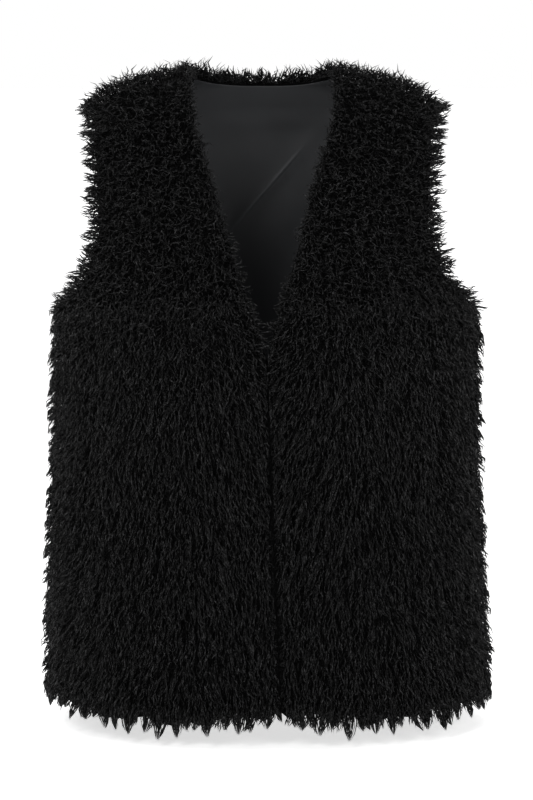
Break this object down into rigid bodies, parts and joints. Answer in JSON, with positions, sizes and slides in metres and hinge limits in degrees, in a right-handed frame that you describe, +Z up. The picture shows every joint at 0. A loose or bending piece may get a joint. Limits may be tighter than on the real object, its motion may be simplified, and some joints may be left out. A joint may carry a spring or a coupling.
{
  "type": "sleeveless long-pile fur vest, filled out as worn",
  "caption": "Sleeveless open-front vest of black shaggy long-pile fur cloth with a deep V neck and a dark satin lining, standing hollow as it does when worn.",
  "frame": {"origin": "midway between the wearer's shoulders, at the height of the shoulder points beside the neck", "axes": "+Z up, +X to the right as seen from the front, +Y from the front to the back"},
  "size_m": [0.4432, 0.2626, 0.6368],
  "materials": {
    "fur": "black curly long pile on a knitted ground, matte with fine glints on the fibres",
    "lining": "charcoal satin, softly glossy"
  },
  "bodies": {
    "root": {"front_left": "fur", "front_right": "fur", "back": "fur", "lining_front_left": "lining", "lining_front_right": "lining", "lining_back": "lining"}
  },
  "joints": []
}
